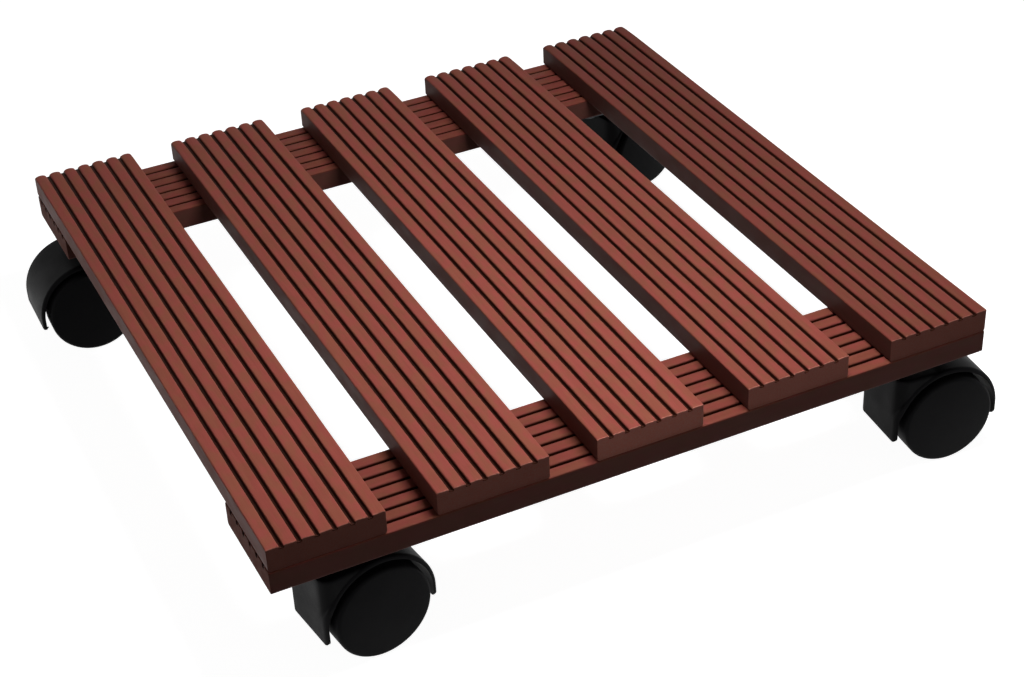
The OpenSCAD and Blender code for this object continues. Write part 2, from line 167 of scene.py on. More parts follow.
class CasterColours(bpy.types.PropertyGroup):
    """Colours of the moulded and metal pieces."""
    hood: colour_property("Hood", "Colour of the moulded hoods", (0.0046, 0.0044, 0.0050))
    wheel: colour_property("Wheel", "Colour of the moulded wheels", (0.0056, 0.0055, 0.0062))
    scuff: colour_property("Scuff", "Colour of dust and scuffs on the treads", (0.022, 0.020, 0.019))
    screw: colour_property("Screw", "Colour of the blackened screws", (0.060, 0.058, 0.056))
    # painted shade: the plates get a near-black colour, so that their edges stay as dark as the
    # shade under the rails
    zinc: colour_property("Zinc", "Colour of the black-passivated sheet", (0.045, 0.045, 0.048))
    steel: colour_property("Steel", "Colour of the pins, rings and axles", (0.42, 0.41, 0.40))


class ScrewSizes(bpy.types.PropertyGroup):
    """Sizes of the screws, whose places come from the frame."""
    head_d: length_property("Head", "Diameter of a head", 7.0)
    shank_d: length_property("Shank", "Diameter of a shank", 3.5)
    recess_l: length_property("Recess length", "Length of the cross recess", 3.6)
    recess_w: length_property("Recess width", "Width of the cross recess", 0.9)
    recess_d: length_property("Recess depth", "Depth of the cross recess", 1.1)
    dome_h: length_property("Dome", "Rise of a pan head's dome", 0.9)
    rim_h: length_property("Rim", "Height of a pan head's straight rim", 1.3)
    pitch: length_property("Pitch", "Distance between the two screws of a slat on one rail", 26.0)
    hole_inset: length_property("Hole inset", "Distance from a plate's edges to its holes", 5.0)


class StageLight(bpy.types.PropertyGroup):
    """Power of each lamp and brightness of the surroundings."""
    top: power_property("Top", "Softbox close above the front edge", 1.75)
    front: power_property("Front", "Softbox low in front on the right", 0.5)
    left: power_property("Left", "Small low softbox on the left", 0.06)
    back: power_property("Back", "Softbox high behind", 0.15)
    ambient: share_property("Ambient", "Brightness of the surroundings to matt surfaces", 0.04)
    floor_bounce: share_property("Floor", "Colour of the floor to matt surfaces", 0.12)
    floor_glow: share_property("Floor glow", "White of the floor where a shadow falls on it", 0.965)
    floor_matt: share_property("Floor matt", "Share of the lamps' light that the floor shows", 0.5)


class PlantStand(bpy.types.PropertyGroup):
    """All that a user of the stand may change."""
    board: bpy.props.PointerProperty(type=BoardSizes)
    wood: bpy.props.PointerProperty(type=WoodColours)
    caster: bpy.props.PointerProperty(type=CasterSizes)
    finish: bpy.props.PointerProperty(type=CasterColours)
    screw: bpy.props.PointerProperty(type=ScrewSizes)
    light: bpy.props.PointerProperty(type=StageLight)


def together(*parts):
    """Arrays of coordinates brought to one shape and joined into points."""
    return np.stack(np.broadcast_arrays(*parts), -1)


def arc_drop(radius, over):
    """Drop of a quarter arc at a distance d past its start: r - sqrt(r^2 - d^2)."""
    return radius - np.sqrt(np.maximum(radius ** 2 - over ** 2, 0))


def grid_quads(rows, columns, start=0, closed=False):
    """Quads of a grid numbered row by row; closed joins the last column to the first."""
    across = np.arange(columns if closed else columns - 1)
    row = np.arange(rows - 1)[:, None] * columns
    a = start + row + across
    b = start + row + (across + 1) % columns
    return np.stack([a, b, b + columns, a + columns], -1).reshape(-1, 4)


def slab(outer, inner):
    """Points and quads of a closed slab between two grids of points (rows, columns, 3).

    The grids are its two faces, and four strips join their borders.
    """
    rows, columns = outer.shape[:2]
    number = np.arange(rows * columns).reshape(rows, columns)
    rim = np.concatenate([number[0, :-1], number[:-1, -1], number[-1, :0:-1], number[:0:-1, 0]])
    after = np.roll(rim, -1)
    under = rows * columns
    faces = np.concatenate([
        grid_quads(rows, columns),
        grid_quads(rows, columns, under)[:, ::-1],
        np.stack([after, rim, rim + under, after + under], -1)])
    return np.concatenate([outer.reshape(-1, 3), inner.reshape(-1, 3)]), [faces]


def spun(profile, segments):
    """Rings of points (rows, segments, 3) of a profile of (radius, height) turned round the Z axis.

    A point at angle a is (radius cos a, radius sin a, height).
    """
    angle = np.arange(segments) * 2 * math.pi / segments
    radius, height = profile[:, :1], profile[:, 1:]
    return together(radius * np.cos(angle), radius * np.sin(angle), height)


def capped(rings, first, last):
    """Points and faces of closed rings, with a fan of triangles to a point at each end."""
    rows, segments = rings.shape[:2]
    around = np.arange(segments)
    after = (around + 1) % segments
    count = rows * segments
    end = count - segments
    fans = np.concatenate([
        np.stack([np.full(segments, count), after, around], -1),
        np.stack([np.full(segments, count + 1), end + around, end + after], -1)])
    points = np.concatenate([rings.reshape(-1, 3), [first, last]])
    return points, [grid_quads(rows, segments, closed=True), fans]


def turned(profile, segments):
    """Points and faces of a profile turned round the Z axis, whose two ends lie on that axis."""
    return capped(spun(profile[1:-1], segments), [0, 0, profile[0, 1]], [0, 0, profile[-1, 1]])


def prism(outline, width, edge):
    """Points and faces of an outline of (x, z) carried across Y, with rounded edges.

    At depth q from a face, less than the rounding r, each point moves in along the outline's normal
    by r - sqrt(r^2 - (r - q)^2). The two faces are polygons.
    """
    ahead = np.roll(outline, -1, 0) - np.roll(outline, 1, 0)
    normal = np.stack([ahead[:, 1], -ahead[:, 0]], -1)
    normal /= np.linalg.norm(normal, axis=1, keepdims=True)
    turn = np.linspace(0, QUARTER, 4)
    depth = edge * (1 - np.sin(turn[::-1]))
    inset = edge * (1 - np.cos(turn[::-1]))
    place = np.concatenate([depth - width / 2, width / 2 - depth[::-1]])
    inset = np.concatenate([inset, inset[::-1]])
    flat = outline - inset[:, None, None] * normal
    points = together(flat[..., 0], place[:, None], flat[..., 1]).reshape(-1, 3)
    count = len(outline)
    ends = np.stack([np.arange(count)[::-1], len(points) - count + np.arange(count)])
    return points, [grid_quads(len(place), count, closed=True), ends]


def joined(parts):
    """Points and faces of several closed surfaces as one set."""
    points, faces, start = [], [], 0
    for part_points, part_faces in parts:
        points.append(part_points)
        faces += [face + start for face in part_faces]
        start += len(part_points)
    return np.concatenate(points), faces


def enclosed(points, faces):
    """Volume inside a closed surface: the sum over its triangles of a . (b x c) / 6."""
    total = 0.0
    for face in faces:
        for k in range(1, face.shape[1] - 1):
            a, b, c = points[face[:, 0]], points[face[:, k]], points[face[:, k + 1]]
            total += np.einsum("ij,ij->", a, np.cross(b, c)) / 6
    return total


def outwards(part):
    """The same surface with its faces turned outwards, if they point in."""
    points, faces = part
    if enclosed(points, faces) < 0:
        faces = [face[:, ::-1] for face in faces]
    return points, faces


def make_piece(name, part, material, body, nodes, marks=None, sharp=35.0):
    """A mesh object from points and faces, which rides on a body and stands for the given nodes.

    marks are named values on the points, single or in threes, for the material to read.
    """
    points, faces = part
    mesh = bpy.data.meshes.new(name)
    sizes = np.concatenate([np.full(len(face), face.shape[1]) for face in faces])
    corners = np.concatenate([face.ravel() for face in faces])
    mesh.vertices.add(len(points))
    mesh.vertices.foreach_set("co", points.astype(np.float32).ravel())
    mesh.loops.add(len(corners))
    mesh.loops.foreach_set("vertex_index", corners.astype(np.int32))
    mesh.polygons.add(len(sizes))
    mesh.polygons.foreach_set("loop_start", (np.cumsum(sizes) - sizes).astype(np.int32))
    mesh.polygons.foreach_set("loop_total", sizes.astype(np.int32))
    mesh.polygons.foreach_set("use_smooth", np.ones(len(sizes), bool))
    for mark, values in (marks or {}).items():
        kind, field = ("FLOAT", "value") if values.ndim == 1 else ("FLOAT_VECTOR", "vector")
        layer = mesh.attributes.new(mark, kind, "POINT")
        layer.data.foreach_set(field, values.astype(np.float32).ravel())
    mesh.update(calc_edges=True)
    mesh.validate()
    mesh.set_sharp_from_angle(angle=math.radians(sharp))
    mesh.materials.append(material)
    piece = bpy.data.objects.new(name, mesh)
    bpy.context.scene.collection.objects.link(piece)
    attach(piece, body)
    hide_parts(*nodes)
    return piece


class Strand:
    """One output socket of a node. Sums, differences and products of strands add Math nodes."""

    def __init__(self, paint, socket):
        self.paint = paint
        self.socket = socket

    def math(self, operation, first, second):
        return self.paint.node("ShaderNodeMath", {"operation": operation}, {0: first, 1: second})

    def __add__(self, other):
        return self.math("ADD", self, other)

    def __sub__(self, other):
        return self.math("SUBTRACT", self, other)

    def __mul__(self, other):
        return self.math("MULTIPLY", self, other)

    def __radd__(self, other):
        return self.math("ADD", other, self)

    def __rsub__(self, other):
        return self.math("SUBTRACT", other, self)

    def __rmul__(self, other):
        return self.math("MULTIPLY", other, self)


class Paint:
    """A node tree, filled by one call for each node."""

    def __init__(self, tree):
        self.tree = tree
        self.tree.nodes.clear()

    def node(self, kind, settings, sockets, out=0):
        """Adds a node, fills or links its sockets, and returns one of its outputs, if any."""
        made = self.tree.nodes.new(kind)
        for setting, value in settings.items():
            setattr(made, setting, value)
        for key, value in sockets.items():
            if isinstance(value, Strand):
                self.tree.links.new(value.socket, made.inputs[key])
            else:
                made.inputs[key].default_value = value
        return Strand(self, made.outputs[out]) if made.outputs else None

    def ramp(self, value, low, high, to_low=0.0, to_high=1.0):
        """Smoothly carries a value from one range to another and holds it there."""
        return self.node(
            "ShaderNodeMapRange", {"interpolation_type": "SMOOTHSTEP"},
            {"Value": value, "From Min": low, "From Max": high, "To Min": to_low, "To Max": to_high})

    def blend(self, factor, first, second, way="MIX"):
        """Mixes two colours."""
        return self.node(
            "ShaderNodeMix", {"data_type": "RGBA", "blend_type": way},
            {0: factor, 6: self.colour(first), 7: self.colour(second)}, out=2)

    def colour(self, value):
        return value if isinstance(value, Strand) else (*value, 1.0)

    def stretched(self, place, scale):
        """A place multiplied along each axis."""
        return self.node("ShaderNodeVectorMath", {"operation": "MULTIPLY"}, {0: place, 1: scale})

    def noise(self, place, scale, detail=3.0, roughness=0.5):
        """Noise with a scale in waves for each metre along each axis."""
        return self.node(
            "ShaderNodeTexNoise", {"noise_dimensions": "3D"},
            {"Vector": self.stretched(place, scale), "Scale": 1.0, "Detail": detail,
             "Roughness": roughness})

    def bump(self, height, depth, normal=None):
        """A bumped normal from a height between 0 and 1 that stands for a depth in metres."""
        sockets = {"Height": height, "Strength": 1.0, "Distance": depth}
        if normal is not None:
            sockets["Normal"] = normal
        return self.node("ShaderNodeBump", {}, sockets)

    def mark(self, name, out):
        """A named value on the piece's points: out is 1 for a vector and 2 for a number."""
        return self.node("ShaderNodeAttribute", {"attribute_name": name}, {}, out)

    def finish(self, sockets):
        """Ends a material in one principled shader."""
        shader = self.node("ShaderNodeBsdfPrincipled", {}, sockets)
        self.node("ShaderNodeOutputMaterial", {}, {"Surface": shader})


def new_paint(name):
    """An empty material and the paint that fills it."""
    material = bpy.data.materials.new(name)
    material.use_nodes = True
    return material, Paint(material.node_tree)


def stained_wood(wood, name, tone):
    """Satin red-brown stain on planed boards; tone is how light this batch of boards is.

    Blends go from the plain face to its darker grain, the sawn ends, the painted shade of the long
    sides, rubbed edges and the painted shade in the groove feet.
    """
    material, paint = new_paint(name)
    place = paint.mark("place", 1)
    groove = paint.mark("groove", 2)
    cut = paint.mark("cut", 2)
    worn = paint.mark("worn", 2)
    side = paint.mark("side", 2)
    tone_and_end_light = paint.mark("tone", 2)
    fibres = paint.noise(place, (1900.0, 70.0, 1900.0), roughness=0.6)
    figure = paint.noise(place, (240.0, 14.0, 240.0), roughness=0.55)
    mottle = paint.noise(place, (190.0, 95.0, 190.0), detail=2.0)
    tint = paint.noise(paint.stretched(place, (-1.0, 1.0, 1.0)), (260.0, 120.0, 260.0), detail=2.0)
    dots = paint.noise(place, (1500.0,) * 3, roughness=0.6)
    face = paint.blend(paint.ramp(tint, 0.38, 0.62), wood.brown, wood.stain)
    dark = paint.ramp(0.3 * fibres + 0.35 * figure + 0.35 * mottle, 0.38, 0.60, 0.42, 0.0)
    face = paint.blend(dark, face, wood.streak)
    end = paint.blend(paint.ramp(dots, 0.3, 0.75, 0.0, 0.5), wood.cut, wood.streak)
    # painted shade: the long sides take the dark side colour
    colour = paint.blend(cut, paint.blend(side * 0.7, face, wood.side), end)
    rubbed = paint.ramp(worn + 0.5 * dots, 0.75, 1.25)
    colour = paint.blend(rubbed * 0.6, colour, wood.worn)
    # painted shade: the grooves go near black towards their feet
    colour = paint.blend(paint.ramp(groove, 0.12, 0.45, 0.0, 0.97), colour, wood.groove)
    # the tone mark is the batch's tone times the painted light on the sawn ends
    shade = paint.node("ShaderNodeCombineColor", {}, {k: tone_and_end_light * tone for k in range(3)})
    colour = paint.blend(1.0, colour, shade, "MULTIPLY")
    roughness = paint.ramp(mottle, 0.3, 0.7, 0.50, 0.60) + 0.16 * cut
    grain = paint.bump(0.8 * fibres + 0.2 * figure, GRAIN_DEPTH)
    saw_marks = 0.00008
    paint.finish({
        "Base Color": colour, "Roughness": roughness, "Specular IOR Level": WOOD_SHEEN,
        "Normal": paint.bump(dots * cut, saw_marks, grain)})
    return material


def moulded_plastic(name, colour, scuff):
    """Black moulded plastic with a fine spark-eroded grain and a trace of dust."""
    material, paint = new_paint(name)
    place = paint.node("ShaderNodeTexCoord", {}, {}, 3)
    grain = paint.noise(place, (2600.0,) * 3, detail=4.0, roughness=0.6)
    cloud = paint.noise(place, (70.0,) * 3)
    dust = paint.noise(place, (420.0,) * 3, detail=4.0, roughness=0.65)
    dull = tuple(0.6 * c for c in colour)
    base = paint.blend(paint.ramp(cloud, 0.3, 0.7, 0.0, 0.35), colour, dull)
    base = paint.blend(paint.ramp(dust, 0.55, 0.8, 0.0, 0.10), base, scuff)
    paint.finish({
        "Base Color": base, "Roughness": paint.ramp(cloud + 0.3 * dust, 0.4, 0.9, 0.42, 0.54),
        "Specular IOR Level": PLASTIC_SHEEN, "Normal": paint.bump(grain, GRAIN_DEPTH)})
    return material


def tread_plastic(name, colour, scuff):
    """The wheels' plastic, with a tread that floor dust has greyed."""
    material, paint = new_paint(name)
    place = paint.node("ShaderNodeTexCoord", {}, {}, 3)
    tread = paint.mark("tread", 2)
    grain = paint.noise(place, (2200.0,) * 3, roughness=0.6)
    cloud = paint.noise(place, (80.0,) * 3)
    dust = paint.noise(place, (900.0,) * 3, detail=4.0, roughness=0.7)
    dull = tuple(0.65 * c for c in colour)
    dusty = paint.ramp(dust, 0.45, 0.75, 0.02, 0.30) * (0.25 + 0.75 * tread)
    base = paint.blend(paint.ramp(cloud, 0.3, 0.7, 0.0, 0.3), colour, dull)
    base = paint.blend(dusty, base, scuff)
    paint.finish({
        "Base Color": base, "Roughness": paint.ramp(cloud, 0.3, 0.7, 0.40, 0.50) + 0.15 * tread,
        "Specular IOR Level": PLASTIC_SHEEN, "Normal": paint.bump(grain, GRAIN_DEPTH)})
    return material


def plated_steel(name, colour, roughness, spangle):
    """Plated, blackened or turned steel: fine scratches one way and a faint clouding."""
    material, paint = new_paint(name)
    place = paint.node("ShaderNodeTexCoord", {}, {}, 3)
    scratch = paint.noise(place, (9000.0, 500.0, 9000.0), detail=2.0)
    cloud = paint.noise(place, (spangle,) * 3, roughness=0.6)
    dull = tuple(0.62 * c for c in colour)
    scratch_depth, clouding = 0.000012, 0.16
    base = paint.blend(paint.ramp(cloud, 0.35, 0.7), colour, dull)
    paint.finish({
        "Base Color": base, "Metallic": 1.0,
        "Roughness": paint.ramp(cloud, 0.3, 0.7, roughness, roughness + clouding),
        "Normal": paint.bump(scratch, scratch_depth)})
    return material


def board_columns(width, thickness, sizes):
    """Across, top, foot and groove depth of a board's section, column by column.

    Each ridge is a quarter arc up, a flat and a quarter arc down, and each groove a leaning wall,
    a rounded foot and the same back. The lower side is flat with a quarter arc at both ends.
    """
    pitch = (width + sizes.groove_w) / sizes.ridges
    ridge_w = pitch - sizes.groove_w
    turn = np.linspace(0, QUARTER, 6)
    up = together(sizes.ridge_r * (1 - np.cos(turn)), sizes.ridge_r * (np.sin(turn) - 1))
    flat = together(np.linspace(sizes.ridge_r, ridge_w - sizes.ridge_r, 8)[1:-1], 0.0)
    down = together(ridge_w - up[::-1, 0], up[::-1, 1])
    foot = turn[::2]
    into = together(sizes.groove_draft + sizes.groove_r * (1 - np.cos(foot)),
                    sizes.groove_r * (1 - np.sin(foot)) - sizes.groove_d)
    out = together(sizes.groove_w - into[::-1, 0], into[::-1, 1])
    groove = np.concatenate([into, out]) + [ridge_w, 0]
    unit = np.concatenate([up, flat, down, groove])
    columns = unit + np.arange(sizes.ridges)[:, None, None] * [pitch, 0]
    columns = columns.reshape(-1, 2)[:-len(groove)]
    across = columns[:, 0]
    inside = np.minimum(np.minimum(across, width - across), sizes.foot_r)
    low = arc_drop(sizes.foot_r, sizes.foot_r - inside)
    depth = np.clip(-columns[:, 1] / sizes.groove_d, 0, 1)
    return across - width / 2, thickness + columns[:, 1], low, depth


def block_skin(block, marks):
    """Points, faces and marks of the skin of a block of points (stations, levels, columns, 3).

    Its six sides are grids that share their borders, and points inside the block are left out.
    """
    number = np.arange(block[..., 0].size).reshape(block.shape[:3])
    grids = [number[0], number[-1, :, ::-1], number[:, 0, ::-1], number[:, -1],
             number[:, :, 0], number[:, ::-1, -1]]
    faces = [np.stack([g[:-1, :-1], g[:-1, 1:], g[1:, 1:], g[1:, :-1]], -1).reshape(-1, 4)
             for g in grids]
    used, place = np.unique(np.concatenate(faces), return_inverse=True)
    skin = {name: values.reshape(-1, *values.shape[3:])[used] for name, values in marks.items()}
    return block.reshape(-1, 3)[used], [place.reshape(-1, 4)], skin


END_STATIONS = np.array([0.5, 0.75, 1.05, 1.4, 2.4, 4.5]) * MM  # from an end, past its rounding
LEVELS = np.array([0, 0.04, 0.2, 0.5, 0.8, 1])  # shares of the way from the top to the underside
SWAY_WAVES = (0.19, 0.083, 0.037)  # wave lengths of the sway
SWAY_STARTS = 0.01  # distance from an end at which the sway is whole
CHIP_FADE, WEAR_FADE = 0.9 * MM, 4 * MM  # distances over which chips and wear fade from an end
SHOULDER, SHOULDER_SPREAD = 0.12, 0.16  # groove depth at which edges rub, as shares
SIDE_SHADE_REACH = 0.9  # share of the foot's rounding that the painted side shade reaches under
GRAIN_SHIFT = (0.02, 3.0, 0.02)  # most that a board's grain is moved, so that no two are alike


def board(length, width, thickness, sizes, seed, finished):
    """Points, faces and marks of one grooved board along Y, centred, standing on z = 0.

    A block of points: section columns across, levels from the top down to the underside, and
    stations along the board. Within the end rounding r a station q from the end moves in along the
    section's normal by r - sqrt(r^2 - (r - q)^2). Ridge edges sway by a sum of slow sines, and near
    the ends chips sink them by a random depth that fades by exp(-q / a millimetre or so). On a
    finished board burrs fill the grooves at the front end. At its back end the ridges are worn
    round, along the board by a quarter arc and across it by a power of the distance from a ridge's
    middle. The marks tell the stain where a point lies and what the saw, hands and feet did there.
    """
    random = np.random.default_rng(seed)
    across, top, low, depth = board_columns(width, thickness, sizes)
    turn = np.linspace(0, QUARTER, 5)
    near = np.concatenate([sizes.end_r * (1 - np.sin(turn[::-1])), END_STATIONS])
    middle = np.linspace(near[-1], length - near[-1], 40)[1:-1]
    along = np.concatenate([near, middle, length - near[::-1]])
    close = np.minimum(along, length - along)
    inset = arc_drop(sizes.end_r, np.maximum(sizes.end_r - close, 0))
    grids = []
    for height, face in ((top, 1), (low, -1)):
        normal = face * together(-np.gradient(height), np.gradient(across))
        normal /= np.linalg.norm(normal, axis=1, keepdims=True)
        grids.append(together(across, height) - inset[:, None, None] * normal)
    phase = random.uniform(0, 2 * math.pi, (3, len(across)))
    phase = np.stack([np.convolve(p, np.ones(7) / 7, "same") for p in phase])
    sway = sum(np.sin(2 * math.pi * along[:, None] / wave + phase[k])
               for k, wave in enumerate(SWAY_WAVES)) / 3
    grids[0][..., 0] += sizes.sway * sway * np.minimum(close / SWAY_STARTS, 1)[:, None]
    bite = np.convolve(random.uniform(0, 1, len(across)) ** 3, np.ones(3) / 3, "same")
    fade = np.exp(-close / CHIP_FADE)[:, None]
    edge = 1 - np.minimum(depth * 4, 1)
    grids[0][..., 1] -= sizes.chip * bite * fade * edge
    if finished:
        fill = np.clip(1 - along / sizes.burr, 0, 1)[:, None] * (0.6 + 0.4 * bite / bite.max())
        grids[0][..., 1] += sizes.burr_h * fill * np.clip(depth * 2 - 1, 0, 1)
        left = np.clip(sizes.worn_end_r - (length - along), 0, None)[:, None]
        pitch = (width + sizes.groove_w) / sizes.ridges
        aside = ((across + width / 2) % pitch) / (pitch - sizes.groove_w) * 2 - 1
        crown = sizes.worn_crown * np.abs(np.clip(aside, -1, 1)) ** 2.5
        worn_off = (arc_drop(sizes.worn_end_r, left)
                    + crown * np.exp(-(length - along) / WEAR_FADE)[:, None])
        grids[0][..., 1] -= worn_off * (1 - depth)
    level = LEVELS[:, None, None]
    section = grids[0][:, None] + level * (grids[1] - grids[0])[:, None]
    block = together(section[..., 0], (along - length / 2)[:, None, None], section[..., 1])
    surface = (np.arange(len(level)) == 0)[:, None]
    # mask of the painted shade on the long sides and lower edges
    side = ((width / 2 - np.abs(across) < SIDE_SHADE_REACH * sizes.foot_r) & ~surface).astype(float)
    shoulder = np.exp(-((depth - SHOULDER) / SHOULDER_SPREAD) ** 2)
    worn = np.broadcast_to((0.45 * shoulder + 0.7 * fade * (0.4 + bite))[:, None], block.shape[:3])
    sawn = np.broadcast_to((close < sizes.end_r / 2)[:, None, None], block.shape[:3]).astype(float)
    marks = {
        "place": block + random.uniform(-1, 1, 3) * GRAIN_SHIFT,
        # groove depth, which sets the painted shade in the grooves
        "groove": np.broadcast_to(surface * depth, block.shape[:3]),
        "cut": sawn, "worn": worn * surface, "side": np.broadcast_to(side, block.shape[:3])}
    return block_skin(block, marks)


def lay_board(name, sizes, seed, crosswise, material, tone=1.0, painted_end_light=1.0):
    """One grooved board as a piece in its node's box: a finished slat, or a rail laid crosswise."""
    low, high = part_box(name)
    size = high - low
    length, width = (size.x, size.y) if crosswise else (size.y, size.x)
    points, faces, marks = board(length, width, size.z, sizes, seed, not crosswise)
    if crosswise:
        points = points[:, [1, 0, 2]] * [-1, 1, 1]
    points = points + [(low.x + high.x) / 2, (low.y + high.y) / 2, low.z]
    # painted light: the sawn ends take the slat's painted end light on top of its tone
    marks["tone"] = tone * (1 + (painted_end_light - 1) * marks["cut"])
    make_piece(f"grooved_{name}", outwards((points, faces)), material, "deck", [name], marks)


class STAND_OT_slats(bpy.types.Operator):
    """Build the five grooved slats of the deck"""
    bl_idname = "plant_stand.slats"
    bl_label = "Slats"

    seed = 11
    tones = (1.10, 1.02, 1.03, 0.88, 0.62)  # how light the stain took on each slat
    painted_end_lights = (0.95, 1.60, 2.75, 2.60, 2.40)  # painted light: the brightness its sawn ends are painted with, for the front lamp's light on them

    def execute(self, context):
        stand = context.scene.plant_stand
        material = stained_wood(stand.wood, "stained_slat", 1.0)
        for index, name in enumerate(SLATS):
            lay_board(name, stand.board, self.seed + index, False, material,
                      self.tones[index], self.painted_end_lights[index])
        return {"FINISHED"}


class STAND_OT_rails(bpy.types.Operator):
    """Build the two cross rails, which are boards of the same kind turned along X"""
    bl_idname = "plant_stand.rails"
    bl_label = "Rails"

    seed, tone = 31, 0.78

    def execute(self, context):
        stand = context.scene.plant_stand
        material = stained_wood(stand.wood, "stained_rail", self.tone)
        for index, name in enumerate(RAILS):
            lay_board(name, stand.board, self.seed + index, True, material)
        return {"FINISHED"}


def turned_to(points, heading, place):
    """Points turned round Z to a heading and moved to a place."""
    spin = np.array(Matrix.Rotation(heading, 3, "Z"))
    return points @ spin.T + np.array(place)


def caster_place(corner):
    """Heading of a caster at rest, its trail, and the middle of its axle, from its joints."""
    pivot = Vector(JOINTS[f"swivel_{corner}_turn"]["pos_m"])
    axle = Vector(JOINTS[f"wheel_{corner}_left_roll"]["pos_m"])
    ahead = (axle - pivot).to_2d()
    return math.atan2(ahead.y, ahead.x), ahead.length, axle


def softly(first, second, blend):
    """Soft minimum of two arrays: -k log(exp(-a/k) + exp(-b/k)), which rounds where they cross."""
    low = np.minimum(first, second)
    return low - blend * np.log1p(np.exp(-np.abs(first - second) / blend))


def corner_loss(wide, half, radius):
    """Depth that a quarter-round corner takes off at a distance from the middle."""
    return arc_drop(radius, np.clip(wide - (half - radius), 0, radius))


def corner_width(depth, half, radius):
    """Distance from the middle at which a quarter-round corner has taken off a depth."""
    return half - radius + np.sqrt(radius ** 2 - (radius - np.clip(depth, 0, radius)) ** 2)


def hood_levels(sizes, wheel_r):
    """Radii of the wheels' room and of the arch, and distances of the back plane and flat top."""
    room_r = wheel_r + sizes.room_gap
    hood_r = room_r + sizes.hood_wall
    return room_r, hood_r, room_r + sizes.back_wall, hood_r - sizes.flat_drop


def hood_shell(sizes, wheel_r):
    """Points and faces of the hood's shell round the axle's middle, heading along X.

    Rows run up the lip, round the axle by a half turn and down the tail, and columns run across.
    Outside, the rim's radius is the soft minimum of its circle and the back plane, the housing's is
    the soft minimum of the back plane and the flat top, and the larger holds. Inside, the room's
    circle and the pocket's planes do the same. Below the axle both faces go straight down. Where a
    rounded edge would leave less than the thin edge, the columns draw in towards the middle. Lip
    and tail end higher near their rounded lower corners.
    """
    room_r, hood_r, back, top = hood_levels(sizes, wheel_r)
    end_rows, arch_rows = 13, 150
    rim_zone = 4.5 * MM  # width beside a rim where the columns crowd together and draw in
    rim_blend, housing_blend, hollow_blend = 0.15 * MM, 0.45 * MM, 0.3 * MM
    least = 0.02  # least sine or cosine, which keeps a plane's radius finite
    half = sizes.hood_w / 2
    housing = half - sizes.rim_ledge
    pocket = housing - sizes.side_skin
    step = 0.02 * MM
    swing = np.sin(np.linspace(0, QUARTER, 9))
    still = half - rim_zone
    across = np.unique(np.round(np.concatenate([
        np.linspace(0, still, 7), still + (housing - still) * swing,
        half - sizes.edge_r + sizes.edge_r * swing, [housing + step, pocket, pocket + step]]), 6))
    across = np.concatenate([-across[:0:-1], across])
    ease = np.sin(np.linspace(0, QUARTER, end_rows + 1))
    arch = np.linspace(0, math.pi, arch_rows)
    turn = np.concatenate([np.zeros(end_rows), arch, np.full(end_rows, math.pi)])[:, None]
    drop = np.concatenate([ease[:0:-1], np.zeros(arch_rows), ease[1:]])[:, None]
    ahead, up = np.cos(turn), np.sin(turn)
    behind, above = np.maximum(-ahead, least), np.maximum(up, least)
    relief = sizes.lip_relief * (ahead > 0)
    room = relief * ahead + np.sqrt(room_r ** 2 - (relief * up) ** 2)
    reach = np.minimum(
        corner_width(hood_r - room - sizes.thin_edge, half, sizes.edge_r),
        corner_width(back - (room + sizes.thin_edge) * behind, half, sizes.rim_corner_r))
    wide = np.abs(across)
    wide = np.where(wide > still, still + (wide - still) * (reach - still) / (half - still), wide)
    rim = softly(hood_r - corner_loss(wide, half, sizes.edge_r),
                 (back - corner_loss(wide, half, sizes.rim_corner_r)) / behind, rim_blend)
    boxed = softly(
        (top - corner_loss(wide, housing, sizes.edge_r)) / above,
        (back - corner_loss(wide, housing, sizes.housing_corner_r)) / behind, housing_blend)
    outside = np.maximum(rim, np.where((wide <= housing) & (ahead < 0), boxed, 0))
    pocket_r = sizes.housing_corner_r - sizes.back_wall
    hollow = softly((top - sizes.hood_wall) / above,
                    (room_r - corner_loss(wide, pocket, pocket_r)) / behind, hollow_blend)
    hollow = np.where((wide <= pocket) & (ahead < 0) & (drop == 0), hollow, 0)
    inside = np.minimum(np.maximum(room, hollow), outside - sizes.thin_edge)
    grids = []
    for radius in (outside, inside):
        x = radius * ahead
        tail = sizes.tail_drop - (back + x) * math.tan(sizes.tail_slope)
        end = np.where(ahead < 0, tail, sizes.lip_drop)
        end = end - corner_loss(wide, reach, sizes.end_corner_r)
        z = radius * up - drop * end
        grids.append(together(x, np.sign(across) * wide, z))
    lip_end = np.clip((drop - 1) * sizes.lip_drop + sizes.lip_round, 0, None) * (ahead > 0)
    grids[0][..., 0] -= arc_drop(sizes.lip_round, lip_end)
    return slab(*grids)


def hood_web(sizes, wheel_r):
    """Points and faces of the web: a boss round the axle that rises to the arch and the kingpin.

    Its outline is an arc of the boss, an arc half way into the hood's wall and two straight sides.
    """
    room_r, _, _, flat_top = hood_levels(sizes, wheel_r)
    boss_wall, toe, edge = 3.9 * MM, 3.6 * MM, 0.5 * MM
    top = flat_top - sizes.hood_wall / 2
    reach = room_r + sizes.hood_wall / 2
    boss = sizes.axle_d / 2 + boss_wall
    back = room_r + sizes.back_wall / 2
    arc = np.radians(np.linspace(62, 78, 6))
    arch = together(reach * np.cos(arc), np.minimum(reach * np.sin(arc), top))
    nose = np.radians(np.linspace(-118, 10, 16))
    nose = boss * together(np.cos(nose), np.sin(nose))
    outline = np.concatenate([[[-back, toe]], nose, arch, [[-back, top]]])
    return prism(outline[::-1], sizes.web_w, edge)


